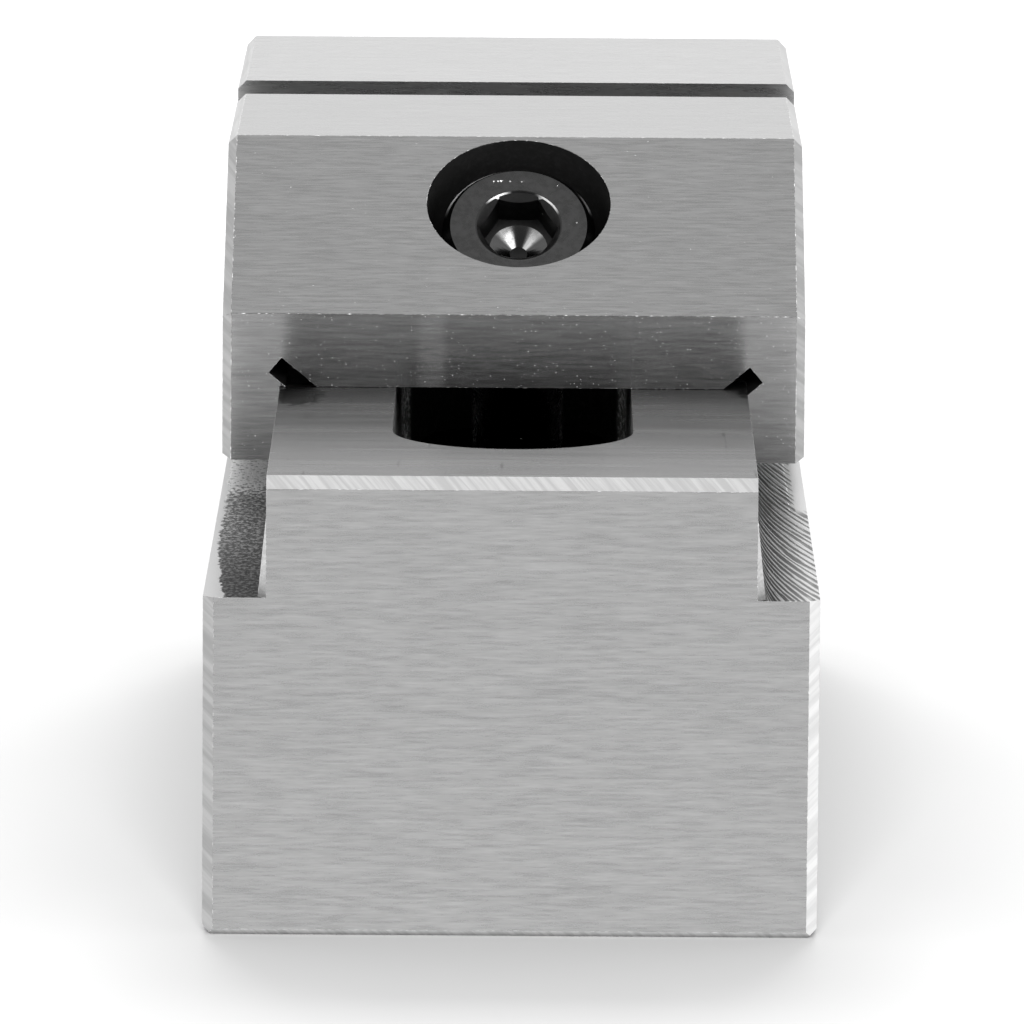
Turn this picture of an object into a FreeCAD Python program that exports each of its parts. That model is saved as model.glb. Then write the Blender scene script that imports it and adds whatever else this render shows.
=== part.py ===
import FreeCAD, Part
import math
import os

# Screwless precision vise, 50 mm wide, after the toolmaker's pattern.
# Millimetres. X runs across the jaws, Y along the vise with the fixed jaw at +Y, Z up.
# The origin is the middle of the ground base.

# Vise body
body_width = 50.0
body_length = 143.0
ledge_height = 27.8
rail_height = 37.7
jaw_height = 57.0
fixed_jaw_length = 35.0
rail_width = 39.76
rail_ground_depth = 3.2
rail_foot_flare = 0.68

# Moving jaw
moving_jaw_length = 48.0
jaw_side_inset = 0.2
slope_run = 18.3
slope_foot_height = 44.0
skirt_bottom_height = 31.4
skirt_chamfer_height = 0.45

# What the jaw slides with
slide_clearance = 0.04
skirt_flare_clearance = 0.25

# Broken edges
edge_chamfer = 0.75
base_end_chamfer = 0.88
base_foot_chamfer = 0.5
rail_end_chamfer = 1.0

# Corner reliefs, ground with the edge of a wheel. The two in the moving jaw were set by hand,
# so each lies a little off its corner, in X and Z.
relief_angle = 40.0
relief_width = 1.7
relief_depth = 1.45
relief_reach = 3.0
left_relief_shift = (0.2, 0.25)
right_relief_shift = (0.17, -0.34)

# Clamp screw: an M8 socket head screw set at this angle below the horizontal
screw_angle = 45.0
screw_off_middle = 0.33
screw_mouth_run = 11.4
screw_diameter = 8.0
screw_length = 50.0
head_diameter = 13.2
head_height = 8.0
head_sink = 3.1
head_land_diameter = 11.8
head_shoulder = 0.8
socket_flats = 6.0
socket_depth = 4.0
socket_point = 1.3
socket_point_flats = 0.5
socket_lead_diameter = 7.4
socket_lead_depth = 0.7
thread_end_chamfer = 0.9

# Its bore in the moving jaw
counterbore_clearance = 1.3
counterbore_below_head = 0.1
screw_hole_clearance = 0.75

# Round-bottomed washer under the head
washer_inset = 0.15
washer_rim = 0.7
washer_bore_clearance = 0.3
washer_sphere_radius = 14.0
washer_seat_gap = 0.03
washer_seat_clearance = 0.2

# Cross nut and the row of notches that it hooks into
nut_diameter = 12.0
nut_end_clearance = 0.5
nut_thread_clearance = 0.05
nut_end_chamfer = 0.8
nut_seated_height = 20.0
nut_to_ring_gap = 0.2
nut_ceiling_clearance = 0.4
notch_clearance = 0.1
notch_steps = 6

# Retaining ring near the screw's end
ring_groove_from_end = 5.0
ring_groove_depth = 0.7
ring_thickness = 0.8
ring_height = 1.8
ring_gap_width = 4.6
ring_clearance = 0.05

# Slot along the rail and pocket under the body
slot_width = 20.0
slot_rear_clearance = 4.45
slot_front_clearance = 2.1
pocket_width = 28.0
pocket_from_rear = 11.0
pocket_front_clearance = 4.6
pocket_corner_radius = 5.0

# Clamping grooves milled in the two sides of the base
groove_width = 8.0
groove_depth = 4.5
groove_height = 12.0
groove_end_margin = 18.0

# How far a cutter runs past the surface that it opens
overshoot = 1.0

# Places that follow from the sizes above
rear = -body_length / 2
front = body_length / 2
half_width = body_width / 2
half_rail = rail_width / 2
fixed_face = front - fixed_jaw_length
full_opening = body_length - fixed_jaw_length - moving_jaw_length
notch_pitch = full_opening / notch_steps
rest_opening = notch_pitch
moving_face = fixed_face - rest_opening
moving_rear = moving_face - moving_jaw_length
half_jaw = half_width - jaw_side_inset

slope_rise = jaw_height - slope_foot_height
mouth_y = moving_rear + screw_mouth_run
mouth_z = slope_foot_height + screw_mouth_run * slope_rise / slope_run

# The screw points down and forward along screw_in. Depths along it are measured from the mouth.
screw_radians = math.radians(screw_angle)
screw_in = FreeCAD.Vector(0, math.cos(screw_radians), -math.sin(screw_radians))
mouth = FreeCAD.Vector(screw_off_middle, mouth_y, mouth_z)
screw_radius = screw_diameter / 2
head_radius = head_diameter / 2
washer_radius = head_radius - washer_inset
nut_radius = nut_diameter / 2
notch_radius = nut_radius + notch_clearance
head_seat_depth = head_sink + head_height
screw_end_depth = head_seat_depth + screw_length
ring_depth = screw_end_depth - ring_groove_from_end
nut_seated_depth = (mouth_z - nut_seated_height) / math.sin(screw_radians)
nut_rest_depth = ring_depth - nut_to_ring_gap - nut_radius
nut_drop = (nut_rest_depth - nut_seated_depth) * math.sin(screw_radians)

# The slot clears the screw from the jaw's rearmost to its foremost place, and so does the pocket.
screw_half_level = screw_radius / math.sin(screw_radians)
notch_top = nut_seated_height + notch_radius
screw_y_at_rail_top = mouth_y + (mouth_z - rail_height) / math.tan(screw_radians)
screw_y_at_notch_top = mouth_y + (mouth_z - notch_top) / math.tan(screw_radians)
screw_tip_y = mouth_y + screw_end_depth * math.cos(screw_radians)
screw_tip_front = screw_tip_y + screw_radius * math.sin(screw_radians)
furthest_back = rest_opening - full_opening
slot_rear_end = screw_y_at_rail_top + furthest_back - screw_half_level - slot_rear_clearance
slot_front_end = screw_y_at_notch_top + rest_opening + screw_half_level + slot_front_clearance
pocket_rear_end = rear + pocket_from_rear
pocket_front_end = screw_tip_front + rest_opening + pocket_front_clearance
pocket_ceiling = nut_seated_height - nut_drop + nut_radius + nut_ceiling_clearance

X_AXIS = FreeCAD.Vector(1, 0, 0)
Y_AXIS = FreeCAD.Vector(0, 1, 0)
Z_AXIS = FreeCAD.Vector(0, 0, 1)


def box(low, high):
    """A box between two corners."""
    size = [b - a for a, b in zip(low, high)]
    return Part.makeBox(size[0], size[1], size[2], FreeCAD.Vector(*low))


def prism_along_y(outline, y_start, y_end):
    """An outline of X and Z points, carried along Y."""
    points = [FreeCAD.Vector(x, y_start, z) for x, z in outline]
    face = Part.Face(Part.makePolygon(points + points[:1]))
    return face.extrude(Y_AXIS * (y_end - y_start))


def prism_along_x(outline, half_length):
    """An outline of Y and Z points, carried along X to both sides of the middle."""
    points = [FreeCAD.Vector(-half_length, y, z) for y, z in outline]
    face = Part.Face(Part.makePolygon(points + points[:1]))
    return face.extrude(X_AXIS * (2 * half_length))


def mirrored(outline):
    """A right-hand outline of X and Z points, closed by its mirror image."""
    return outline + [(-x, z) for x, z in reversed(outline)]


def wedge(corner, first, second, along):
    """A three-sided bar that takes a sharp edge off."""
    points = [corner, corner + first, corner + second]
    face = Part.Face(Part.makePolygon(points + points[:1]))
    return face.extrude(along)


def rounded_slot(width, y_start, y_end, z_low, z_high):
    """A vertical cutter path with full round ends."""
    radius = width / 2
    straight = box((-radius, y_start + radius, z_low), (radius, y_end - radius, z_high))
    ends = [
        Part.makeCylinder(radius, z_high - z_low, FreeCAD.Vector(0, y, z_low))
        for y in (y_start + radius, y_end - radius)
    ]
    return straight.fuse(ends)


def along_screw(depth):
    """The point on the screw's axis at this depth below the mouth."""
    return mouth + screw_in * depth


def turned(profile):
    """Revolve an outline of radius and depth points about the screw's axis."""
    points = [along_screw(depth) + X_AXIS * radius for radius, depth in profile]
    face = Part.Face(Part.makePolygon(points + points[:1]))
    return face.revolve(mouth, screw_in, 360)


def drilled(diameter, start, end):
    """A cylinder along the screw's axis between two depths."""
    return Part.makeCylinder(diameter / 2, end - start, along_screw(start), screw_in)


def relief_outline():
    """A relief's four corners about the corner that its lower flank passes through.

    It leans outwards and up, at its own angle above the level.
    """
    lean = math.radians(relief_angle)
    along = (math.cos(lean), math.sin(lean))
    aside = (-math.sin(lean) * relief_width, math.cos(lean) * relief_width)
    tip = (along[0] * relief_depth, along[1] * relief_depth)
    tail = (-along[0] * relief_reach, -along[1] * relief_reach)
    return [
        tip,
        (tip[0] + aside[0], tip[1] + aside[1]),
        (tail[0] + aside[0], tail[1] + aside[1]),
        tail,
    ]


def channel_relief(side, shift):
    """The relief in a top corner of the moving jaw's channel."""
    corner_x = side * (half_rail + slide_clearance) + shift[0]
    corner_z = rail_height + slide_clearance + shift[1]
    outline = [(corner_x + side * x, corner_z + z) for x, z in relief_outline()]
    return prism_along_y(outline, moving_rear - overshoot, moving_face + overshoot)


def fixed_jaw_relief():
    """The same relief at the foot of the fixed jaw, leaning forward and down."""
    outline = [(fixed_face + y, rail_height - z) for y, z in relief_outline()]
    return prism_along_x(outline, half_width + overshoot)


def rail_outline(extra, flare_extra):
    """The rail's right-hand side from its foot to its top, grown by a clearance."""
    flare_start = rail_height - rail_ground_depth
    return [
        (half_rail + rail_foot_flare + flare_extra, ledge_height),
        (half_rail + extra, flare_start),
        (half_rail + extra, rail_height + extra),
    ]


def end_chamfers(solid_end, outward, height):
    """Wedges that break the two upright edges at one end of the body."""
    wedges = []
    for side in (-1, 1):
        corner = FreeCAD.Vector(side * half_width, solid_end, 0)
        across = X_AXIS * (-side * base_end_chamfer)
        inward = Y_AXIS * (-outward * base_end_chamfer)
        wedges.append(wedge(corner, across, inward, Z_AXIS * height))
    return wedges


def foot_chamfers():
    """Wedges that break the base's bottom edge at both ends."""
    wedges = []
    for solid_end, inward in ((rear, 1), (front, -1)):
        corner = FreeCAD.Vector(-half_width, solid_end, 0)
        back = Y_AXIS * (inward * base_foot_chamfer)
        wedges.append(wedge(corner, back, Z_AXIS * base_foot_chamfer, X_AXIS * body_width))
    return wedges


def long_edge_chamfer(half, z_edge, width, height, y_start, y_end):
    """Wedges that break the two long edges at a height. A negative height cuts downwards."""
    wedges = []
    for side in (-1, 1):
        corner = FreeCAD.Vector(side * half, y_start, z_edge)
        across = X_AXIS * (-side * width)
        wedges.append(wedge(corner, across, Z_AXIS * height, Y_AXIS * (y_end - y_start)))
    return wedges


def notch_row():
    """Round notches across the pocket's ceiling, one for each seat of the cross nut."""
    closed_y = along_screw(nut_seated_depth).y + rest_opening
    notches = []
    for index in range(notch_steps + 1):
        y = closed_y - index * notch_pitch
        start = FreeCAD.Vector(-pocket_width / 2, y, nut_seated_height)
        notches.append(Part.makeCylinder(notch_radius, pocket_width, start, X_AXIS))
    return notches


def underside_pocket():
    """The pocket milled up from the base, with rounded corners in plan."""
    half = pocket_width / 2
    pocket = box((-half, pocket_rear_end, -overshoot), (half, pocket_front_end, pocket_ceiling))
    upright = [e for e in pocket.Edges if abs(e.tangentAt(e.FirstParameter).z) > 0.99]
    return pocket.makeFillet(pocket_corner_radius, upright)


def side_grooves():
    """Closed-ended clamping grooves, cut with an end mill from each side."""
    radius = groove_width / 2
    y_start = rear + groove_end_margin
    y_end = front - groove_end_margin
    grooves = []
    for side in (-1, 1):
        inner = side * (half_width - groove_depth)
        low_x = min(inner, side * (half_width + overshoot))
        depth = groove_depth + overshoot
        straight = box(
            (low_x, y_start + radius, groove_height - radius),
            (low_x + depth, y_end - radius, groove_height + radius),
        )
        ends = [
            Part.makeCylinder(radius, depth, FreeCAD.Vector(low_x, y, groove_height), X_AXIS)
            for y in (y_start + radius, y_end - radius)
        ]
        grooves.append(straight.fuse(ends))
    return grooves


def rail_end_slivers():
    """Wedges that break the flared foot of the rail back to its ground width at the rear end."""
    wedges = []
    reach = rail_foot_flare + overshoot / 2
    for side in (-1, 1):
        corner = FreeCAD.Vector(side * half_rail, rear, ledge_height)
        out = X_AXIS * (side * reach)
        wedges.append(wedge(corner, out, out + Y_AXIS * reach, Z_AXIS * (rail_height - ledge_height)))
    return wedges


def make_vise_body():
    base = box((-half_width, rear, 0), (half_width, front, ledge_height))
    rail = prism_along_y(mirrored(rail_outline(0, 0)), rear, fixed_face)
    fixed_jaw = box((-half_width, fixed_face, ledge_height), (half_width, front, jaw_height))
    body = base.fuse([rail, fixed_jaw])

    past = rail_end_chamfer + overshoot
    rail_end = [
        (rear - overshoot, rail_height - past),
        (rear + past, rail_height + overshoot),
        (rear - overshoot, rail_height + overshoot),
    ]
    cutters = [prism_along_x(rail_end, half_rail + overshoot)]
    cutters += rail_end_slivers()
    cutters += end_chamfers(rear, -1, ledge_height)
    cutters += end_chamfers(front, 1, jaw_height)
    cutters += foot_chamfers()
    cutters += long_edge_chamfer(half_width, 0, edge_chamfer, edge_chamfer, rear, front)
    cutters += long_edge_chamfer(
        half_width, jaw_height, edge_chamfer, -edge_chamfer, fixed_face, front
    )
    slot_top = rail_height + overshoot
    cutters.append(
        rounded_slot(slot_width, slot_rear_end, slot_front_end, nut_seated_height, slot_top)
    )
    cutters.append(underside_pocket())
    cutters += notch_row()
    cutters += side_grooves()
    cutters.append(fixed_jaw_relief())
    return body.cut(cutters).removeSplitter()


def make_moving_jaw():
    side_view = [
        (moving_rear, skirt_bottom_height),
        (moving_face, skirt_bottom_height),
        (moving_face, jaw_height),
        (moving_rear + slope_run, jaw_height),
        (moving_rear, slope_foot_height),
    ]
    jaw = prism_along_x(side_view, half_jaw)

    channel = mirrored(rail_outline(slide_clearance, skirt_flare_clearance))
    cutters = [prism_along_y(channel, moving_rear - overshoot, moving_face + overshoot)]
    cutters.append(channel_relief(-1, left_relief_shift))
    cutters.append(channel_relief(1, right_relief_shift))
    cutters += long_edge_chamfer(
        half_jaw, jaw_height, edge_chamfer, -edge_chamfer, moving_rear, moving_face
    )
    cutters += long_edge_chamfer(
        half_jaw,
        skirt_bottom_height,
        edge_chamfer,
        skirt_chamfer_height,
        moving_rear,
        moving_face,
    )
    cutters += slope_side_chamfers()
    cutters += rear_side_chamfers()

    counterbore = 2 * (head_radius + counterbore_clearance)
    counterbore_floor = head_seat_depth + counterbore_below_head
    screw_hole = screw_diameter + 2 * screw_hole_clearance
    cutters.append(drilled(counterbore, -counterbore, counterbore_floor))
    cutters.append(washer_seat_cutter())
    cutters.append(drilled(screw_hole, head_seat_depth, nut_seated_depth))
    return jaw.cut(cutters).removeSplitter()


def slope_side_chamfers():
    """Wedges along the two side edges of the sloped face."""
    length = math.hypot(slope_run, slope_rise)
    normal = FreeCAD.Vector(0, -slope_rise, slope_run) * (edge_chamfer / length)
    along = FreeCAD.Vector(0, slope_run, slope_rise) * (edge_chamfer / length)
    foot = FreeCAD.Vector(0, moving_rear, slope_foot_height)
    whole = along * ((length + 2 * edge_chamfer) / edge_chamfer)
    wedges = []
    for side in (-1, 1):
        corner = foot - along + X_AXIS * (side * half_jaw) + normal
        across = X_AXIS * (-2 * side * edge_chamfer)
        wedges.append(wedge(corner, normal * -2, across, whole))
    return wedges


def rear_side_chamfers():
    """Wedges along the two upright edges at the jaw's rear face."""
    top = slope_foot_height + edge_chamfer
    wedges = []
    for side in (-1, 1):
        corner = FreeCAD.Vector(side * half_jaw, moving_rear, skirt_bottom_height)
        across = X_AXIS * (-side * edge_chamfer)
        upright = Z_AXIS * (top - skirt_bottom_height)
        wedges.append(wedge(corner, across, Y_AXIS * edge_chamfer, upright))
    return wedges


def sphere_centre_depth():
    """Depth of the centre of the washer's round underside."""
    rim_depth = head_seat_depth + washer_rim
    return rim_depth - math.sqrt(washer_sphere_radius ** 2 - washer_radius ** 2)


def washer_seat_cutter():
    """The hollow in the counterbore's floor that the round washer tilts in."""
    ball = Part.makeSphere(
        washer_sphere_radius + washer_seat_gap, along_screw(sphere_centre_depth())
    )
    hollow = 2 * (washer_radius + washer_seat_clearance)
    reach = drilled(hollow, head_seat_depth - overshoot, head_seat_depth + washer_sphere_radius)
    return ball.common(reach)


def make_spherical_washer():
    ball = Part.makeSphere(washer_sphere_radius, along_screw(sphere_centre_depth()))
    below = head_seat_depth + washer_sphere_radius
    blank = drilled(2 * washer_radius, head_seat_depth, below)
    bore = screw_diameter + 2 * washer_bore_clearance
    hole = drilled(bore, head_seat_depth - overshoot, below + overshoot)
    return ball.common(blank).cut(hole)


def hexagon(flats, depth):
    """A hexagon square to the screw, two of its corners level across the vise."""
    upright = screw_in.cross(X_AXIS)
    radius = flats / math.sqrt(3)
    centre = along_screw(depth)
    points = []
    for index in range(6):
        angle = math.radians(60 * index)
        across = X_AXIS * (radius * math.cos(angle))
        points.append(centre + across + upright * (radius * math.sin(angle)))
    return Part.makePolygon(points + points[:1])


def socket_cutter():
    """The hexagon socket, its lead-in cone and its six-sided point."""
    mouth_wire = hexagon(socket_flats, head_sink - overshoot)
    walls = Part.Face(mouth_wire).extrude(screw_in * (socket_depth + overshoot))
    bottom = head_sink + socket_depth
    point = Part.makeLoft(
        [hexagon(socket_flats, bottom), hexagon(socket_point_flats, bottom + socket_point)],
        True,
    )
    lead_radius = socket_lead_diameter / 2
    lead = Part.makeCone(
        lead_radius + overshoot,
        lead_radius - socket_lead_depth,
        overshoot + socket_lead_depth,
        along_screw(head_sink - overshoot),
        screw_in,
    )
    return walls.fuse([point, lead])


def make_clamp_screw():
    groove = screw_radius - ring_groove_depth
    ring_end = ring_depth + ring_thickness + 2 * ring_clearance
    profile = [
        (0, head_sink),
        (head_land_diameter / 2, head_sink),
        (head_radius, head_sink + head_shoulder),
        (head_radius, head_seat_depth),
        (screw_radius, head_seat_depth),
        (screw_radius, ring_depth),
        (groove, ring_depth),
        (groove, ring_end),
        (screw_radius, ring_end),
        (screw_radius, screw_end_depth - thread_end_chamfer),
        (screw_radius - thread_end_chamfer, screw_end_depth),
        (0, screw_end_depth),
    ]
    return turned(profile).cut(socket_cutter())


def make_cross_nut():
    nut_length = pocket_width - 2 * nut_end_clearance
    middle = along_screw(nut_rest_depth)
    start = FreeCAD.Vector(-nut_length / 2, middle.y, middle.z)
    nut = Part.makeCylinder(nut_radius, nut_length, start, X_AXIS)
    rims = [e for e in nut.Edges if e.Closed and abs(e.Length - math.pi * nut_diameter) < 0.01]
    nut = nut.makeChamfer(nut_end_chamfer, rims)
    bore = screw_diameter + 2 * nut_thread_clearance
    return nut.cut(drilled(bore, nut_rest_depth - nut_diameter, nut_rest_depth + nut_diameter))


def make_retaining_ring():
    """A snap ring of the open kind, pressed into its groove from the side."""
    start = ring_depth + ring_clearance
    end = start + ring_thickness
    inner = screw_radius - ring_groove_depth + ring_clearance
    outer = screw_radius + ring_height
    ring = drilled(2 * outer, start, end)
    ring = ring.cut(drilled(2 * inner, start - overshoot, end + overshoot))
    half_gap = ring_gap_width / 2
    first = along_screw(start - overshoot) - X_AXIS * half_gap
    sideways = screw_in.cross(X_AXIS) * (2 * outer)
    points = [first, first + X_AXIS * ring_gap_width]
    points += [points[1] + sideways, first + sideways]
    gap = Part.Face(Part.makePolygon(points + points[:1]))
    return ring.cut(gap.extrude(screw_in * (ring_thickness + 2 * overshoot)))


PIECES = {
    "vise_body": make_vise_body,
    "moving_jaw": make_moving_jaw,
    "spherical_washer": make_spherical_washer,
    "clamp_screw": make_clamp_screw,
    "cross_nut": make_cross_nut,
    "retaining_ring": make_retaining_ring,
}

os.makedirs("parts", exist_ok=True)
for name, make in PIECES.items():
    solid = make().Solids[0]
    solid.exportStep("parts/" + name + ".step")
    print(name, round(solid.Volume, 1), solid.isValid())
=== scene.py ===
import math

import bmesh
import bpy
from mathutils import Matrix, Vector


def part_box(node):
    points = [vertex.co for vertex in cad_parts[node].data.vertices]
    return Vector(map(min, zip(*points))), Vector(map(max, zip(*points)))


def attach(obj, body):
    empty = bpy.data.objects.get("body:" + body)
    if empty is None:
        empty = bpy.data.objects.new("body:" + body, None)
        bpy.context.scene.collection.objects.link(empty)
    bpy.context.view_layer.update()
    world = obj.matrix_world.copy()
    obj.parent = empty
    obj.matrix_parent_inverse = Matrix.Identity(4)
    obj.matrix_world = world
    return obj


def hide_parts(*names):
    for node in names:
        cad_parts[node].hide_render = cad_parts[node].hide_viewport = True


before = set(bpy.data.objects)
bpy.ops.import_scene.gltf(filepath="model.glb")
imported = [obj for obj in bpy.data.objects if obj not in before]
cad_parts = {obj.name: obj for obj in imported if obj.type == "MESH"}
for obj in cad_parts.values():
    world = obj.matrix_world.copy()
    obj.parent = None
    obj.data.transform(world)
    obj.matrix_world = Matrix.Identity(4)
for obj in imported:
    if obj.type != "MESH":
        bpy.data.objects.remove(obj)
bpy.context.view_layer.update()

MM = 0.001

# The vise's own levels and faces, in metres, as the frame has them
body_low, body_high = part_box("vise_body")
jaw_low, jaw_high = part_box("moving_jaw")
REAR = body_low.y
BASE_SIDE = body_high.x
LEDGE = 27.8 * MM
RAIL_TOP = 37.7 * MM
RAIL_FOOT = 20.56 * MM
FIXED_FACE = body_high.y - 35 * MM
SCREW_MOUTH = Vector((0.33, -10.1, 52.0984)) * MM
SCREW_IN = Vector((0, 1, -1)).normalized()
SCREW_UP = Vector((0, 1, 1)).normalized()

# The screw's threaded end, an M8 thread, with the groove that its ring sits in
SCREW_RADIUS = 4 * MM
SCREW_END = 61.1 * MM
HEAD_RADIUS = 6.6 * MM
THREAD_START = 33 * MM
THREAD_PITCH = 1.25 * MM
THREAD_DEPTH = 0.75 * MM
THREAD_CHAMFER = 0.9 * MM
THREAD_RINGS = 8
THREAD_SIDES = 32

# The socket's bottom: a nearly flat rim out to its corners, a cone and the cone's blunt tip
CORNER_RADIUS = 3.47 * MM
CORNER_DEPTH = 6.2 * MM
CONE_RADIUS = 2.5 * MM
CONE_DEPTH = 6.36 * MM
TIP_RADIUS = 0.75 * MM
TIP_DEPTH = 7.2 * MM
CONE_SLOPE = math.atan2(TIP_DEPTH - CONE_DEPTH, CONE_RADIUS - TIP_RADIUS)
RING_GROOVE_START = 56.1 * MM
RING_GROOVE_END = 57.0 * MM
RING_GROOVE_RADIUS = 3.3 * MM

# The body's hollows: half the pocket's width, and the middle of a clamping groove's section
POCKET_SIDE = 14.2 * MM
GROOVE_MIDDLE = 22.7 * MM
GROOVE_HEIGHT = 12 * MM

# How far a ground edge is broken, and how nearly a face must lie on a level to count as on it
EDGE_BREAK = 0.05 * MM
NEAR = 0.05 * MM
FLAT_ANGLE = math.radians(0.5)
SHARP_ANGLE = math.radians(20)


def add_node(tree, kind, inputs=None, **settings):
    """Add a shader node. An input is a value, or another node's output that is linked to it."""
    node = tree.nodes.new(kind)
    for name, value in settings.items():
        setattr(node, name, value)
    for name, value in (inputs or {}).items():
        if isinstance(value, bpy.types.NodeSocket):
            tree.links.new(value, node.inputs[name])
        else:
            node.inputs[name].default_value = value
    return node


def calc(tree, operation, *values, clamp=False):
    """A Math node's output."""
    node = add_node(tree, "ShaderNodeMath", dict(enumerate(values)), operation=operation)
    node.use_clamp = clamp
    return node.outputs[0]


def remap(tree, value, low, high, to_low=0.0, to_high=1.0):
    """A value between low and high, eased to another range and kept in it."""
    limits = {"From Min": low, "From Max": high, "To Min": to_low, "To Max": to_high}
    node = add_node(tree, "ShaderNodeMapRange", {"Value": value, **limits})
    node.interpolation_type = "SMOOTHSTEP"
    return node.outputs[0]


def blend(tree, factor, first, second):
    """A value that goes from the first to the second as the factor goes from 0 to 1."""
    return add_node(tree, "ShaderNodeMix", {"Factor": factor, "A": first, "B": second}).outputs[0]


def stretched(tree, vector, factors):
    """Coordinates multiplied axis by axis, so that a pattern gets long where the factor is small."""
    return add_node(tree, "ShaderNodeVectorMath", {0: vector, 1: factors}, operation="MULTIPLY").outputs[0]


def noise(tree, vector, scale, detail=2.0, roughness=0.5):
    inputs = {"Vector": vector, "Scale": scale, "Detail": detail, "Roughness": roughness}
    return add_node(tree, "ShaderNodeTexNoise", inputs).outputs[0]


def uneven(tree, vector, scale, detail=2.0, roughness=0.5):
    """Noise about zero."""
    return calc(tree, "SUBTRACT", noise(tree, vector, scale, detail, roughness), 0.5)


def part_of(tree, vector, axis):
    """One of a vector's three parts."""
    return add_node(tree, "ShaderNodeSeparateXYZ", {"Vector": vector}).outputs[axis]


def offset_from(tree, coordinates, point):
    return add_node(tree, "ShaderNodeVectorMath", {0: coordinates, 1: point}, operation="SUBTRACT").outputs[0]


def to_grey(tree, level):
    return add_node(tree, "ShaderNodeCombineColor", {0: level, 1: level, 2: level}).outputs[0]


def make_group(name, inputs, outputs):
    """A shader node group with named sockets. Returns its tree and its two end nodes."""
    tree = bpy.data.node_groups.new(name, "ShaderNodeTree")
    for label, kind, default in inputs:
        socket = tree.interface.new_socket(name=label, in_out="INPUT", socket_type="NodeSocket" + kind)
        if default is not None:
            socket.default_value = default
    for label in outputs:
        tree.interface.new_socket(name=label, in_out="OUTPUT", socket_type="NodeSocketFloat")
    return tree, tree.nodes.new("NodeGroupInput"), tree.nodes.new("NodeGroupOutput")


def make_grain_group():
    """A grinding wheel's fine streaks, and the softer bands between its passes, both about zero."""
    tree, start, end = make_group(
        "grinding_grain",
        [("Vector", "Vector", None), ("Stretch", "Vector", (1.0, 1.0, 1.0)), ("Scale", "Float", 6000.0)],
        ["Streaks", "Bands"],
    )
    vector = stretched(tree, start.outputs["Vector"], start.outputs["Stretch"])
    wide_scale = calc(tree, "MULTIPLY", start.outputs["Scale"], 0.25)
    tree.links.new(uneven(tree, vector, start.outputs["Scale"], 2.0, 0.55), end.inputs["Streaks"])
    tree.links.new(uneven(tree, vector, wide_scale, 2.0, 0.5), end.inputs["Bands"])
    return tree


def make_speck_group():
    """Tiny points, some brighter than others, as of lint and loose grains, in a share of the cells."""
    tree, start, end = make_group(
        "specks",
        [
            ("Vector", "Vector", None),
            ("Scale", "Float", 900.0),
            ("Share", "Float", 0.2),
            ("Size", "Float", 0.08),
        ],
        ["Mask"],
    )
    inputs = {"Vector": start.outputs["Vector"], "Scale": start.outputs["Scale"]}
    cells = add_node(tree, "ShaderNodeTexVoronoi", inputs)
    chance = add_node(tree, "ShaderNodeSeparateColor", {"Color": cells.outputs["Color"]})
    size = calc(tree, "MULTIPLY", start.outputs["Size"], chance.outputs["Green"])
    near = calc(tree, "LESS_THAN", cells.outputs["Distance"], size)
    chosen = calc(tree, "LESS_THAN", chance.outputs["Red"], start.outputs["Share"])
    glint = calc(tree, "MULTIPLY", calc(tree, "MULTIPLY", near, chosen), chance.outputs["Blue"])
    tree.links.new(glint, end.inputs["Mask"])
    return tree


def make_arc_group():
    """The long arcs that a big cutter leaves as it is fed along a ledge, 0 in a groove and 1 between."""
    tree, start, end = make_group(
        "cutter_arcs",
        [
            ("Vector", "Vector", None),
            ("Start", "Float", 0.0),
            ("Radius", "Float", 1.0),
            ("Feed", "Float", 1.0),
        ],
        ["Lines"],
    )
    parts = add_node(tree, "ShaderNodeSeparateXYZ", {"Vector": start.outputs["Vector"]})
    out = calc(tree, "MAXIMUM", calc(tree, "SUBTRACT", parts.outputs["X"], start.outputs["Start"]), 0.0)
    reach = calc(tree, "MULTIPLY", out, calc(tree, "MULTIPLY", start.outputs["Radius"], 2.0))
    fed = calc(tree, "ADD", parts.outputs["Y"], calc(tree, "SQRT", reach))
    turn = calc(tree, "DIVIDE", fed, start.outputs["Feed"])
    outward = calc(tree, "MULTIPLY", out, 300.0)
    place = add_node(tree, "ShaderNodeCombineXYZ", {"X": turn, "Y": outward}).outputs[0]
    shift = calc(tree, "MULTIPLY", uneven(tree, place, 0.7), 1.6)
    phase = calc(tree, "ADD", turn, shift)
    wave = calc(tree, "SINE", calc(tree, "MULTIPLY", phase, 2 * math.pi))
    fine = calc(tree, "MULTIPLY", uneven(tree, place, 3.0, 2.0, 0.6), 3.0)
    wave = calc(tree, "ADD", wave, fine)
    tree.links.new(remap(tree, wave, -0.6, 0.8), end.inputs["Lines"])
    return tree


grain_group = make_grain_group()
speck_group = make_speck_group()
arc_group = make_arc_group()


def start_metal(name):
    """A metal material with its Object coordinates."""
    material = bpy.data.materials.new(name)
    material.use_nodes = True
    tree = material.node_tree
    shader = tree.nodes["Principled BSDF"]
    shader.inputs["Metallic"].default_value = 1.0
    coordinates = tree.nodes.new("ShaderNodeTexCoord").outputs["Object"]
    return material, tree, shader, coordinates


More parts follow.
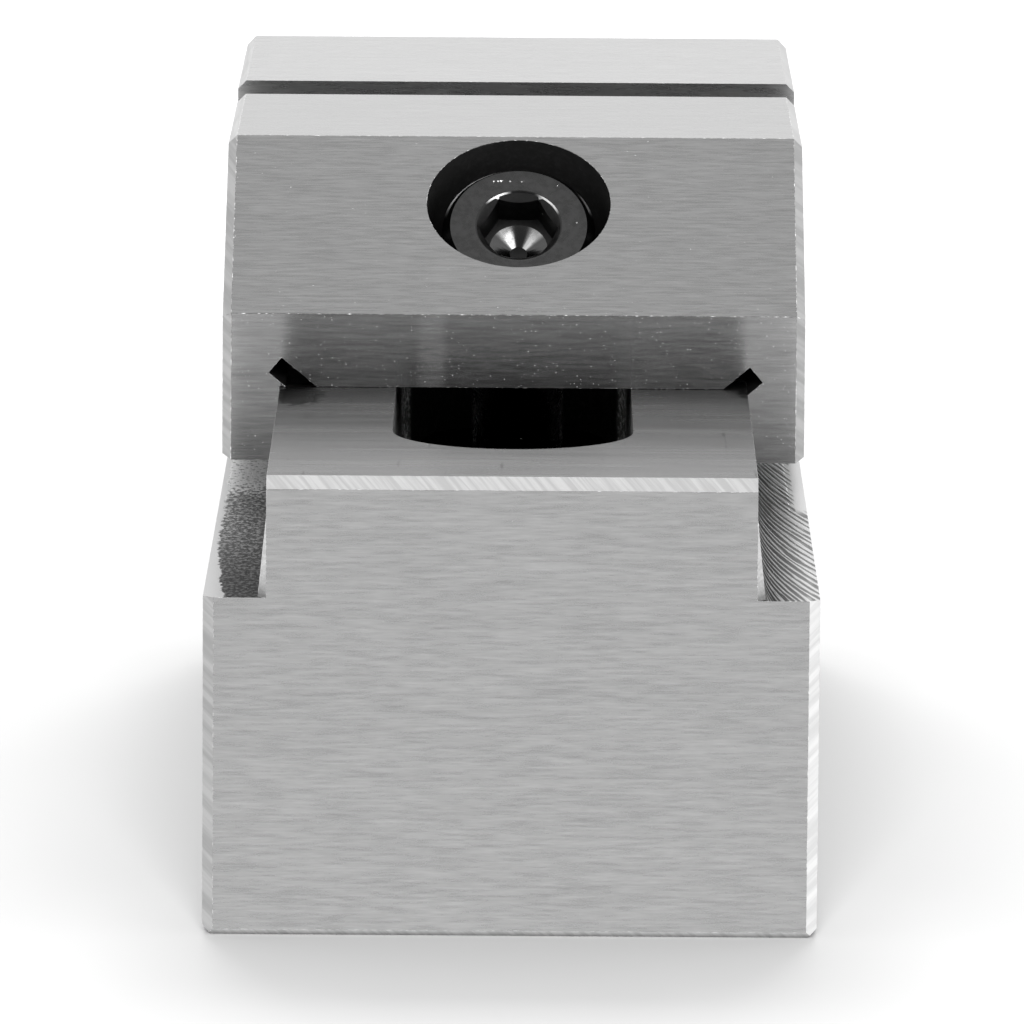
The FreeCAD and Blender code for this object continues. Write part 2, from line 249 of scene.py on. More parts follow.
def finish_metal(tree, shader, tone, rough, height, bump, depth=0.02 * MM, pale=None, pale_tone=0.8):
    """Link a tone, a roughness and a height to a metal's shader. Where it is pale, light scatters."""
    if pale is not None:
        tone = blend(tree, pale, tone, pale_tone)
        tree.links.new(calc(tree, "SUBTRACT", 1.0, pale), shader.inputs["Metallic"])
    tree.links.new(to_grey(tree, tone), shader.inputs["Base Color"])
    if isinstance(rough, bpy.types.NodeSocket):
        tree.links.new(rough, shader.inputs["Roughness"])
    else:
        shader.inputs["Roughness"].default_value = rough
    inputs = {"Strength": bump, "Distance": depth, "Height": height}
    tree.links.new(add_node(tree, "ShaderNodeBump", inputs).outputs[0], shader.inputs["Normal"])


def lay_grain(tree, shader, axis, amount):
    """Blur what the metal mirrors at right angles to its grain, which runs along this axis."""
    tangent = add_node(tree, "ShaderNodeTangent", direction_type="RADIAL", axis=axis)
    tree.links.new(tangent.outputs[0], shader.inputs["Tangent"])
    shader.inputs["Anisotropic"].default_value = amount


def add_specks(tree, coordinates, scale, share, size):
    """Where tiny pale grains lie."""
    node = add_node(tree, "ShaderNodeGroup", {}, node_tree=speck_group)
    tree.links.new(coordinates, node.inputs["Vector"])
    node.inputs["Scale"].default_value = scale
    node.inputs["Share"].default_value = share
    node.inputs["Size"].default_value = size
    return node.outputs["Mask"]


def add_grain(tree, coordinates, stretch, scale):
    """The streaks and the bands of a ground face."""
    grain = add_node(tree, "ShaderNodeGroup", {}, node_tree=grain_group)
    tree.links.new(coordinates, grain.inputs["Vector"])
    grain.inputs["Stretch"].default_value = stretch
    grain.inputs["Scale"].default_value = scale
    return grain.outputs["Streaks"], grain.outputs["Bands"]


# How light a roughly milled ledge is when looked along
EDGE_ON = (0.6, 0.6, 0.6, 1.0)

# Which way a grain runs: the factors that draw a pattern out along it
ACROSS = (0.08, 1.0, 1.0)
ALONG = (1.0, 0.08, 1.0)


def ground_steel(
    name,
    level,
    roughness,
    stretch,
    contrast=0.7,
    bump=0.15,
    specks=(2500.0, 0.03, 0.25),
    haze=0.0,
    smear=None,
    row=None,
    grain=0.85,
):
    """Surface-ground steel, its grain long in the direction of the small stretch factor.

    Haze is how much of it scatters light between the specks. A smear is a hazier band, given by
    its middle in X and half its width. A row of larger grains lies at a height. Grain is how
    much more the steel blurs across its streaks than along them.
    """
    material, tree, shader, coordinates = start_metal(name)
    lay_grain(tree, shader, "X" if stretch == ACROSS else "Y", grain)
    streaks, bands = add_grain(tree, coordinates, stretch, 5000.0)
    pattern = calc(tree, "ADD", streaks, calc(tree, "MULTIPLY", bands, 0.25))
    tone = calc(tree, "ADD", level, calc(tree, "MULTIPLY", pattern, contrast * level))
    rough = calc(tree, "ADD", roughness, calc(tree, "MULTIPLY", streaks, 0.1))
    pale = calc(tree, "MAXIMUM", add_specks(tree, coordinates, *specks), haze)
    if smear is not None:
        across = part_of(tree, coordinates, "X")
        aside = calc(tree, "ABSOLUTE", calc(tree, "SUBTRACT", across, smear[0]))
        band = remap(tree, aside, smear[1], 0.3 * smear[1], haze, haze + 0.08)
        pale = calc(tree, "MAXIMUM", pale, band)
    if row is not None:
        away = calc(tree, "ABSOLUTE", calc(tree, "SUBTRACT", part_of(tree, coordinates, "Z"), row))
        in_row = calc(tree, "LESS_THAN", away, 0.12 * MM)
        grains = calc(tree, "MULTIPLY", add_specks(tree, coordinates, 1800.0, 0.8, 0.45), in_row)
        pale = calc(tree, "MAXIMUM", pale, grains)
    finish_metal(tree, shader, tone, rough, streaks, bump, pale=pale, pale_tone=0.5)
    return material


def ragged_patch(tree, coordinates, centre, per_metre):
    """A ragged patch around a point, 1 inside it. It reaches 1 / per_metre along each axis."""
    scaled = stretched(tree, offset_from(tree, coordinates, centre), per_metre)
    reach = add_node(tree, "ShaderNodeVectorMath", {0: scaled}, operation="LENGTH").outputs["Value"]
    ragged = calc(tree, "MULTIPLY", uneven(tree, coordinates, 1400.0, 4.0, 0.7), 1.8)
    return remap(tree, calc(tree, "ADD", reach, ragged), 1.0, 0.75)


def rail_top_steel(name, level, roughness):
    """The rail's top: nearly smooth, darker inwards, with faint scratches, and by the jaw dark ragged patches
    of painted reflection of the jaw's relief grooves.
    """
    material, tree, shader, coordinates = start_metal(name)
    lay_grain(tree, shader, "X", 0.85)
    streaks, bands = add_grain(tree, coordinates, ACROSS, 2500.0)
    scratches = noise(tree, stretched(tree, coordinates, (1.0, 0.05, 1.0)), 1800.0, 2.0, 0.5)
    scratch = remap(tree, scratches, 0.68, 0.76, 0.0, 0.12)
    ahead = part_of(tree, coordinates, "Y")
    end = remap(tree, ahead, jaw_low.y - 45 * MM, jaw_low.y - 22 * MM, level * 0.82, level * 0.58)
    near_jaw = remap(tree, ahead, jaw_low.y - 17 * MM, jaw_low.y - 5 * MM, 0.0, level * 0.3)
    pattern = calc(tree, "MULTIPLY", calc(tree, "ADD", streaks, bands), 0.2 * level)
    tone = calc(tree, "ADD", calc(tree, "ADD", end, near_jaw), pattern)
    tone = calc(tree, "SUBTRACT", tone, scratch)
    # Painted reflection: dark ragged patches at the rail's corners by the jaw stand for the jaw's relief
    # grooves mirrored in the top.
    for corner, before_jaw, reach in (
        (-18.2 * MM, 4.5 * MM, (450.0, 140.0, 0.0)),
        (19.5 * MM, 2.2 * MM, (2000.0, 450.0, 0.0)),
    ):
        painted_patch = ragged_patch(tree, coordinates, (corner, jaw_low.y - before_jaw, 0.0), reach)
        tone = calc(tree, "SUBTRACT", tone, calc(tree, "MULTIPLY", painted_patch, 0.2), clamp=True)
    rough = calc(tree, "ADD", roughness, calc(tree, "MULTIPLY", bands, 0.1))
    finish_metal(tree, shader, tone, rough, streaks, 0.05)
    return material


def hatched_steel(name, low, high, roughness, lean, width=0.45 * MM):
    """A chamfer ground by hand, with strokes that lean across it, a stroke's width apart."""
    material, tree, shader, coordinates = start_metal(name)
    turned = add_node(tree, "ShaderNodeMapping", {"Vector": coordinates, "Rotation": lean}).outputs[0]
    strokes = noise(tree, stretched(tree, turned, (1.0, 0.04, 0.04)), 0.6 / width, 3.0, 0.65)
    tone = remap(tree, strokes, 0.35, 0.65, low, high)
    rough = calc(tree, "ADD", roughness, calc(tree, "MULTIPLY", strokes, 0.1))
    finish_metal(tree, shader, tone, rough, strokes, 0.2, 0.05 * MM)
    return material


def torn_ledge_steel(name):
    """The left ledge: torn by a dull cutter, smooth and bright along its outer edge and near the jaw."""
    material, tree, shader, coordinates = start_metal(name)
    parts = add_node(tree, "ShaderNodeSeparateXYZ", {"Vector": coordinates})
    inward = calc(tree, "ADD", parts.outputs["X"], BASE_SIDE)
    along_ledge = stretched(tree, coordinates, (0.05, 1.0, 1.0))
    slow = calc(tree, "MULTIPLY", uneven(tree, along_ledge, 200.0), 1.2 * MM)
    fast = calc(tree, "MULTIPLY", uneven(tree, coordinates, 1600.0, 3.0, 0.6), 1.0 * MM)
    ragged = calc(tree, "ADD", inward, calc(tree, "ADD", slow, fast))
    strip = remap(tree, parts.outputs["Y"], REAR, REAR + 26 * MM, 1.55 * MM, 0.55 * MM)
    inside = calc(tree, "SUBTRACT", ragged, strip)
    torn_part = remap(tree, inside, -0.06 * MM, 0.06 * MM)
    tears = noise(tree, stretched(tree, coordinates, (0.8, 0.4, 1.0)), 3200.0, 3.0, 0.65)
    patchy = calc(tree, "MULTIPLY", calc(tree, "SUBTRACT", tears, 0.5), 18 * MM)
    forward = calc(tree, "ADD", parts.outputs["Y"], patchy)
    clean = remap(tree, forward, jaw_low.y + 1 * MM, jaw_low.y + 11 * MM)
    torn_low = blend(tree, clean, 0.46, 0.36)
    nicks = remap(tree, tears, torn_low, calc(tree, "ADD", torn_low, 0.14))
    lighter = remap(tree, parts.outputs["Y"], REAR + 4 * MM, jaw_low.y + 10 * MM)
    nick_tone = blend(tree, lighter, 0.035, 0.26)
    between_tone = blend(tree, lighter, 0.17, 0.85)
    torn_tone = blend(tree, nicks, nick_tone, between_tone)
    tone = blend(tree, torn_part, 0.54, torn_tone)
    rough = blend(tree, torn_part, 0.3, 0.5)
    bright = calc(tree, "MULTIPLY", clean, nicks)
    scatter = blend(tree, torn_part, 0.2, calc(tree, "MULTIPLY", bright, 0.6))
    height = calc(tree, "MULTIPLY", tears, torn_part)
    shader.inputs["Specular Tint"].default_value = EDGE_ON
    finish_metal(tree, shader, tone, rough, height, 0.5, 0.12 * MM, scatter, 0.7)
    return material


def arc_ledge_steel(name):
    """The right ledge: a big cutter's arcs, brighter outwards. By the jaw it is smooth and torn."""
    material, tree, shader, coordinates = start_metal(name)
    parts = add_node(tree, "ShaderNodeSeparateXYZ", {"Vector": coordinates})
    arcs = add_node(tree, "ShaderNodeGroup", {}, node_tree=arc_group)
    tree.links.new(coordinates, arcs.inputs["Vector"])
    arcs.inputs["Start"].default_value = RAIL_FOOT
    arcs.inputs["Radius"].default_value = 125 * MM
    arcs.inputs["Feed"].default_value = 2.8 * MM
    outward = remap(tree, parts.outputs["X"], RAIL_FOOT, BASE_SIDE - 0.6 * MM)
    forward = remap(tree, parts.outputs["Y"], REAR, jaw_low.y - 5 * MM)
    narrow = blend(tree, outward, blend(tree, forward, 8.0, 1.0), 0.45)
    lines = calc(tree, "POWER", arcs.outputs["Lines"], narrow)
    low = blend(tree, outward, blend(tree, forward, 0.0, 0.16), 0.30)
    high = blend(tree, outward, blend(tree, forward, 0.42, 0.72), 1.0)
    tone = blend(tree, lines, low, high)
    ragged = calc(tree, "MULTIPLY", calc(tree, "SUBTRACT", lines, 0.5), 0.5 * MM)
    aside = calc(tree, "ADD", parts.outputs["X"], ragged)
    outer_strip = remap(tree, aside, BASE_SIDE - 1.3 * MM, BASE_SIDE - 1.15 * MM)
    by_jaw = remap(tree, parts.outputs["Y"], jaw_low.y - 6 * MM, jaw_low.y - 2 * MM)
    smooth_part = calc(tree, "MULTIPLY", outer_strip, by_jaw)
    torn_part = ragged_patch(tree, coordinates, (RAIL_FOOT, jaw_low.y - 1 * MM, 0.0), (550.0, 120.0, 0.0))
    tone = blend(tree, calc(tree, "MULTIPLY", torn_part, 0.8), tone, 0.3)
    tone = blend(tree, smooth_part, tone, 0.55)
    height = calc(tree, "MULTIPLY", lines, calc(tree, "SUBTRACT", 1.0, smooth_part))
    scatter = calc(tree, "MULTIPLY", smooth_part, 0.45)
    rough = blend(tree, smooth_part, 0.4, 0.3)
    shader.inputs["Specular Tint"].default_value = EDGE_ON
    finish_metal(tree, shader, tone, rough, height, 0.4, 0.08 * MM, scatter, 0.8)
    return material


def bored_steel(name, level, roughness, haze, sides=None):
    """The rough walls of bores, slots and pockets, painted dark as shade in these hollows. Haze is how much
    of them scatters light.

    At a distance from the middle, which is that of the slot's side walls, they are speckled,
    and lighter further down: painted light for the light that falls into the slot.
    """
    material, tree, shader, coordinates = start_metal(name)
    coarse = noise(tree, coordinates, 1800.0, 4.0, 0.7)
    tone = remap(tree, coarse, 0.45, 0.75, level, level * 4)
    rough = calc(tree, "ADD", roughness, calc(tree, "MULTIPLY", coarse, 0.1))
    pale = calc(tree, "MAXIMUM", add_specks(tree, coordinates, 2500.0, 0.1, 0.25), haze)
    pale_tone = level * 3
    if sides is not None:
        # Painted light on the slot's side walls: pale speckle, lighter further down, for light that falls
        # into the slot.
        aside = calc(tree, "ABSOLUTE", part_of(tree, coordinates, "X"))
        wall = remap(tree, aside, sides, sides + 0.5 * MM)
        wall = calc(tree, "MULTIPLY", wall, remap(tree, aside, sides + 3 * MM, sides + 2 * MM))
        painted_wall_light = calc(tree, "MULTIPLY", wall, remap(tree, coarse, 0.45, 0.6, 0.3, 1.0))
        pale = calc(tree, "MAXIMUM", pale, painted_wall_light)
        height = part_of(tree, coordinates, "Z")
        painted_wall_tone = remap(tree, height, RAIL_TOP - 3 * MM, RAIL_TOP - 9 * MM, 0.35, 0.9)
        pale_tone = blend(tree, wall, pale_tone, painted_wall_tone)
    finish_metal(tree, shader, tone, rough, coarse, 0.3, 0.1 * MM, pale, pale_tone)
    return material


def broken_edge_steel(name, level):
    """The thin broken edges, with small burrs painted pale as glints."""
    material, tree, shader, coordinates = start_metal(name)
    nicks = noise(tree, coordinates, 2600.0, 3.0, 0.7)
    # Painted highlight: pale glinting points on the small burrs of the edges.
    painted_burr_glint = remap(tree, nicks, 0.56, 0.62)
    tone = remap(tree, nicks, 0.42, 0.56, level * 0.4, level)
    finish_metal(tree, shader, tone, 0.35, nicks, 0.4, 0.05 * MM, painted_burr_glint, 0.95)
    return material


def from_point_on_screw(tree, coordinates, point):
    """How far across and how far up the screw's head a place lies from a point."""
    offset = offset_from(tree, coordinates, point)
    rise = add_node(tree, "ShaderNodeVectorMath", {0: offset, 1: SCREW_UP}, operation="DOT_PRODUCT")
    return part_of(tree, offset, "X"), rise.outputs["Value"]


def black_oxide(name, level, roughness, grains=None):
    """A blackened screw: satin, faintly mottled, with a few bright grains.

    A short row of more grains lies at a place given across and up the screw's axis.
    """
    material, tree, shader, coordinates = start_metal(name)
    mottle = noise(tree, coordinates, 1500.0, 4.0, 0.6)
    tone = remap(tree, mottle, 0.3, 0.7, level * 0.85, level * 1.15)
    rough = remap(tree, mottle, 0.3, 0.7, roughness * 0.9, roughness * 1.1)
    pale = add_specks(tree, coordinates, 3000.0, 0.02, 0.25)
    if grains is not None:
        centre = SCREW_MOUTH + Vector((grains[0], 0, 0)) + SCREW_UP * grains[1]
        across, rise = from_point_on_screw(tree, coordinates, centre)
        long_side = calc(tree, "LESS_THAN", calc(tree, "ABSOLUTE", across), 1.4 * MM)
        short_side = calc(tree, "LESS_THAN", calc(tree, "ABSOLUTE", rise), 0.13 * MM)
        row = calc(tree, "MULTIPLY", long_side, short_side)
        more = calc(tree, "MULTIPLY", add_specks(tree, coordinates, 3600.0, 0.9, 0.5), row)
        pale = calc(tree, "MAXIMUM", pale, more)
    finish_metal(tree, shader, tone, rough, mottle, 0.1, 0.02 * MM, pale, 0.9)
    return material


def black_steel_painted_highlights(name, start, places, dull=0.06, bright=0.7, roughness=0.3, scatter=0.8):
    """The screw's black with painted highlights of bright steel beyond a radius, at places round its axis.

    A place is an angle from +X in degrees, half its width and how bright it is.
    """
    material, tree, shader, coordinates = start_metal(name)
    across, rise = from_point_on_screw(tree, coordinates, SCREW_MOUTH)
    across_square = calc(tree, "MULTIPLY", across, across)
    rise_square = calc(tree, "MULTIPLY", rise, rise)
    radius = calc(tree, "SQRT", calc(tree, "ADD", across_square, rise_square))
    beyond = remap(tree, radius, start - NEAR, start + NEAR)
    angle = calc(tree, "ARCTAN2", rise, across)
    painted_highlight = 0.0
    for centre, half, strength in places:
        aside = calc(tree, "ABSOLUTE", calc(tree, "SUBTRACT", angle, math.radians(centre)))
        here = remap(tree, aside, math.radians(half), math.radians(half * 0.3), 0.0, strength)
        painted_highlight = calc(tree, "MAXIMUM", painted_highlight, here)
    patchy = noise(tree, coordinates, 1500.0, 3.0, 0.6)
    painted_patch = calc(tree, "MULTIPLY", beyond, remap(tree, patchy, 0.3, 0.5, 0.6, 1.0))
    painted_highlight = calc(tree, "MULTIPLY", painted_highlight, painted_patch)
    tone = blend(tree, painted_highlight, dull, bright)
    pale = calc(tree, "MULTIPLY", painted_highlight, scatter)
    finish_metal(tree, shader, tone, roughness, patchy, 0.1, 0.02 * MM, pale, 1.0)
    return material


def copy_of_node(node):
    """A mesh in progress with a node's shape: loose triangles merged, flat faces joined."""
    shape = bmesh.new()
    shape.from_mesh(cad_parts[node].data)
    bmesh.ops.remove_doubles(shape, verts=shape.verts, dist=0.001 * MM)
    bmesh.ops.dissolve_limit(
        shape, angle_limit=FLAT_ANGLE, verts=shape.verts, edges=shape.edges, use_dissolve_boundaries=False
    )
    shape.normal_update()
    return shape


def bevel_edges(shape, edges, width, segments):
    """Bevel these edges. Returns the new faces."""
    result = bmesh.ops.bevel(
        shape,
        geom=edges,
        offset=width,
        offset_type="OFFSET",
        segments=segments,
        profile=0.5,
        affect="EDGES",
        clamp_overlap=True,
        material=-1,
    )
    shape.normal_update()
    return result["faces"]


def break_edges(shape, width):
    """Take a hair's breadth off every sharp edge. Returns the new thin faces."""
    sharp = [e for e in shape.edges if e.is_manifold and e.calc_face_angle() > SHARP_ANGLE]
    return bevel_edges(shape, sharp, width, 1)


def mark_sharp_edges(shape):
    """Keep the shading of smooth faces from running over sharp edges."""
    for edge in shape.edges:
        edge.smooth = edge.is_manifold and edge.calc_face_angle() < SHARP_ANGLE


def from_mouth(place):
    """How deep along the screw's axis a place lies, and how far from the axis."""
    aside = place - SCREW_MOUTH
    depth = aside.dot(SCREW_IN)
    return depth, (aside - SCREW_IN * depth).length


def around_screw(depth, radius, angle):
    """The place at a depth and a radius, at an angle from +X about the screw's axis."""
    out = Vector((math.cos(angle), 0, 0)) + SCREW_UP * math.sin(angle)
    return SCREW_MOUTH + SCREW_IN * depth + out * radius


def finish_piece(shape, name, node, body, materials):
    """Make the object, let it stand for its node and ride on its body."""
    mesh = bpy.data.meshes.new(name)
    shape.to_mesh(mesh)
    shape.free()
    for material in materials:
        mesh.materials.append(material)
    piece = bpy.data.objects.new(name, mesh)
    bpy.context.scene.collection.objects.link(piece)
    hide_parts(node)
    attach(piece, body)
    return piece


def body_finish(face):
    """Which finish a face of the vise body has, by where it lies and which way it looks."""
    centre = face.calc_center_median()
    normal = face.normal
    inside = abs(centre.x) < POCKET_SIDE and REAR + 10 * MM < centre.y < FIXED_FACE + 15 * MM
    if inside and centre.z < RAIL_TOP and (normal.z < 0.9 or centre.z < 27 * MM):
        if not (centre.z < NEAR and normal.z < -0.9):
            return "bored"
    in_groove = abs(abs(centre.x) - GROOVE_MIDDLE) < 2.31 * MM and abs(centre.z - GROOVE_HEIGHT) < 4.1 * MM
    if in_groove and abs(centre.y) < 54 * MM:
        if abs(normal.x) < 0.99 or abs(centre.x) < 21 * MM:
            return "bored"
    if normal.z > 0.99 and abs(centre.z - LEDGE) < NEAR:
        return "left_ledge" if centre.x < 0 else "right_ledge"
    if 0.3 < abs(normal.x) < 0.95 and abs(normal.y) > 0.3:
        if abs(centre.x) < RAIL_FOOT + 0.1 * MM:
            return "sliver"
        # The rear right chamfer gets a lighter copy of the hatched finish: painted light on that side.
        bright = centre.x > 0 and centre.y < REAR + 2 * MM
        return "right_chamfer" if bright else "left_chamfer"
    if abs(normal.z) > 0.5 and abs(normal.z) < 0.9:
        if centre.y < REAR + 2 * MM:
            return "rail_chamfer"
        if abs(normal.y) > 0.5:
            return "bored"
        return "left_chamfer"
    if normal.z > 0.9 and centre.y < FIXED_FACE:
        return "rail_top"
    if abs(normal.x) > 0.9:
        return "along"
    return "across"


def jaw_finish(face):
    """Which finish a face of the moving jaw has."""
    centre = face.calc_center_median()
    normal = face.normal
    depth, off_axis = from_mouth(centre)
    if off_axis < 8.0 * MM and centre.z < SCREW_MOUTH.z + 6 * MM and abs(normal.x) < 0.999:
        if abs(normal.dot(SCREW_IN)) < 0.5 or depth > 5 * MM:
            return "bored"
    if centre.z < 40 * MM and abs(centre.x) < 22 * MM and abs(normal.y) < 0.5:
        return "bored"
    if 0.3 < abs(normal.x) < 0.95:
        return "left_chamfer" if centre.x < 0 else "right_chamfer"
    if abs(normal.x) > 0.9:
        return "along"
    if normal.z > 0.5:
        return "slope" if normal.y < -0.3 else "top"
    return "across"


def sort_faces(shape, chooser, finishes, edge_faces):
    """Give each face the number of its finish."""
    order = list(finishes)
    thin = set(edge_faces)
    for face in shape.faces:
        finish = "edge" if face in thin else chooser(face)
        face.material_index = order.index(finish)
        face.smooth = finish == "bored"
    mark_sharp_edges(shape)


def screw_finish(face):
    """Which finish a face of the clamp screw has."""
    depth, radius = from_mouth(face.calc_center_median())
    tilt = abs(face.normal.dot(SCREW_IN))
    if depth < 3.2 * MM and tilt > 0.98:
        return "land"
    if depth < 4.1 * MM and radius > 5.9 * MM and tilt > 0.05:
        return "shoulder"
    if depth < 3.25 * MM and 3.4 * MM < radius < 3.8 * MM:
        return "rim"
    if depth < 9 * MM and radius < 3.6 * MM:
        return "point" if 0.5 < tilt < 0.98 and depth > CONE_DEPTH else "socket"
    return "black"


def rounded_rims(shape):
    """Round the socket's mouth and the head's outer corner a little."""
    rims = []
    for edge in shape.edges:
        ends = [from_mouth(vert.co) for vert in edge.verts]
        for radius, depth in ((3.7 * MM, 3.1 * MM), (HEAD_RADIUS, 3.9 * MM)):
            if all(abs(d - depth) < NEAR and abs(r - radius) < NEAR for d, r in ends):
                rims.append(edge)
    bevel_edges(shape, rims, 0.14 * MM, 3)


def blunt_bottom(shape):
    """Put a round cone with a blunt tip in place of the socket's six-sided bottom."""
    bottom = []
    for face in shape.faces:
        depth, radius = from_mouth(face.calc_center_median())
        if 7.15 * MM < depth < 9 * MM and radius < 3.2 * MM:
            bottom.append(face)
    bmesh.ops.delete(shape, geom=bottom, context="FACES")
    rings = []
    for radius, depth in (
        (CORNER_RADIUS, CORNER_DEPTH), (CONE_RADIUS, CONE_DEPTH), (TIP_RADIUS, TIP_DEPTH)
    ):
        rings.append([])
        for index in range(THREAD_SIDES):
            angle = 2 * math.pi * index / THREAD_SIDES
            rings[-1].append(shape.verts.new(around_screw(depth, radius, angle)))
    for outer, inner in zip(rings, rings[1:]):
        for index in range(THREAD_SIDES):
            after = (index + 1) % THREAD_SIDES
            shape.faces.new((outer[index], outer[after], inner[after], inner[index]))
    shape.faces.new(rings[-1])
    shape.normal_update()


def thread_radius(depth, angle):
    """The screw's radius at a depth below the slope and an angle about its axis."""
    place = (depth / THREAD_PITCH - angle / (2 * math.pi)) % 1.0
    flank = 1 - abs(2 * place - 1)
    groove = THREAD_DEPTH * min(1.0, max(0.0, 1.25 * flank - 0.1))
    groove *= min(1.0, (depth - THREAD_START) / (1.5 * THREAD_PITCH))
    radius = SCREW_RADIUS - groove
    if RING_GROOVE_START < depth < RING_GROOVE_END:
        radius = min(radius, RING_GROOVE_RADIUS)
    return min(radius, SCREW_RADIUS - THREAD_CHAMFER + (SCREW_END - depth))


def add_thread(shape):
    """A threaded length as a closed shell of rings, each numbered clockwise seen from the head."""
    steps = round((SCREW_END - THREAD_START) / THREAD_PITCH * THREAD_RINGS)
    rings = []
    for step in range(steps + 1):
        depth = THREAD_START + (SCREW_END - THREAD_START) * step / steps
        ring = []
        for index in range(THREAD_SIDES):
            angle = 2 * math.pi * index / THREAD_SIDES
            place = around_screw(depth, thread_radius(depth, angle), -angle)
            ring.append(shape.verts.new(place))
        rings.append(ring)
    for first, second in zip(rings, rings[1:]):
        for index in range(THREAD_SIDES):
            after = (index + 1) % THREAD_SIDES
            shape.faces.new((first[index], first[after], second[after], second[index]))
    shape.faces.new(rings[0][::-1])
    shape.faces.new(rings[-1])


def make_clamp_screw():
    shape = copy_of_node("clamp_screw")
    result = bmesh.ops.bisect_plane(
        shape,
        geom=shape.verts[:] + shape.edges[:] + shape.faces[:],
        plane_co=SCREW_MOUTH + SCREW_IN * THREAD_START,
        plane_no=SCREW_IN,
        clear_outer=True,
    )
    cut = [part for part in result["geom_cut"] if isinstance(part, bmesh.types.BMEdge)]
    bmesh.ops.edgeloop_fill(shape, edges=cut)
    rounded_rims(shape)
    add_thread(shape)
    bmesh.ops.recalc_face_normals(shape, faces=shape.faces)
    blunt_bottom(shape)
    order = list(screw_finishes)
    for face in shape.faces:
        finish = screw_finish(face)
        face.material_index = order.index(finish)
        face.smooth = abs(face.normal.dot(SCREW_IN)) < 0.999
    mark_sharp_edges(shape)
    return finish_piece(
        shape, "clamp_screw_finished", "clamp_screw", "screw", screw_finishes.values()
    )


def make_vise_body():
    shape = copy_of_node("vise_body")
    thin = break_edges(shape, EDGE_BREAK)
    sort_faces(shape, body_finish, body_finishes, thin)
    return finish_piece(
        shape, "vise_body_finished", "vise_body", "body", body_finishes.values()
    )


def make_moving_jaw():
    shape = copy_of_node("moving_jaw")
    thin = break_edges(shape, EDGE_BREAK)
    sort_faces(shape, jaw_finish, jaw_finishes, thin)
    return finish_piece(
        shape, "moving_jaw_finished", "moving_jaw", "jaw", jaw_finishes.values()
    )


STEEL = 0.45
across_steel = ground_steel("ground_across", STEEL, 0.28, ACROSS)
along_steel = ground_steel("ground_along", STEEL, 0.28, ALONG)
left_hatched = hatched_steel("hatched_left", 0.36, 0.49, 0.35, (0.0, math.radians(50), 0.0))
# Painted light: a lighter copy of the hatched finish, for the body's rear right chamfer.
painted_lit_hatched = hatched_steel("hatched_painted_lit", 0.68, 0.84, 0.35, (0.0, math.radians(-50), 0.0))
rail_hatched = hatched_steel("hatched_rail_end", 0.80, 1.0, 0.3, (0.0, math.radians(45), 0.0), 0.22 * MM)
# Painted shade: the bored walls of the body and the jaw are nearly black steel, for the shade in their
# hollows.
bored = bored_steel("bored_painted_shade", 0.012, 0.5, 0.2, 9.0 * MM)
bored_jaw = bored_steel("bored_jaw", 0.012, 0.4, 0.5)
broken_edge = broken_edge_steel("broken_edge", 0.6)

body_finishes = {
    "across": across_steel,
    "along": along_steel,
    "rail_top": rail_top_steel("ground_rail_top", 0.335, 0.26),
    "left_ledge": torn_ledge_steel("torn_ledge"),
    "right_ledge": arc_ledge_steel("arc_ledge"),
    "left_chamfer": left_hatched,
    "right_chamfer": painted_lit_hatched,
    "rail_chamfer": rail_hatched,
    "sliver": ground_steel("bright_sliver", 0.62, 0.35, ALONG),
    "bored": bored,
    "edge": broken_edge,
}
jaw_finishes = {
    "across": ground_steel(
        "ground_jaw",
        0.43,
        0.21,
        ACROSS,
        contrast=1.0,
        specks=(3400.0, 0.6, 0.14),
        haze=0.03,
        smear=(-7.0 * MM, 1.7 * MM),
        row=RAIL_TOP + 0.16 * MM,
        grain=1.0,
    ),
    "slope": ground_steel("ground_slope", 0.395, 0.28, ACROSS, specks=(2800.0, 0.14, 0.16)),
    "top": ground_steel("ground_jaw_top", 0.40, 0.28, ACROSS),
    "along": along_steel,
    "left_chamfer": left_hatched,
    "right_chamfer": left_hatched,
    "bored": bored_jaw,
    "edge": broken_edge,
}
black = black_oxide("black_oxide", 0.10, 0.28)
screw_finishes = {
    "black": black,
    "land": black_oxide("black_land", 0.085, 0.28, (-0.9 * MM, 4.75 * MM)),
    # Painted highlights: bright patches at set angles on the head's shoulder, the socket's rim and the
    # socket's cone; on the cone the key lamps' reflections fall on the same places.
    "shoulder": black_steel_painted_highlights("shoulder_painted_highlight", 6.3 * MM, ((132, 40, 1.0), (27, 16, 0.4))),
    "rim": black_steel_painted_highlights("socket_rim_painted_highlight", 3.0 * MM, ((120, 22, 1.0), (44, 26, 0.6))),
    "socket": black_oxide("socket_walls", 0.06, 0.45),
    "point": black_steel_painted_highlights(
        "cone_painted_highlight",
        0.0,
        ((122, 26, 1.0), (50, 24, 0.7)),
        dull=0.13,
        bright=0.9,
        roughness=0.16,
        scatter=0.0,
    ),
}
turned = ground_steel("turned_steel", 0.3, 0.3, ALONG)

make_vise_body()
make_moving_jaw()
make_clamp_screw()
for node, material in (
    ("retaining_ring", black),
    ("cross_nut", turned),
    ("spherical_washer", turned),
):
    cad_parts[node].data.materials.clear()
    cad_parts[node].data.materials.append(material)


# How light the table is to the camera, as light on other things, and in what the steel mirrors
FLOOR_SEEN = 0.60
FLOOR_COLOUR = 0.8
FLOOR_MIRRORED = 1.25


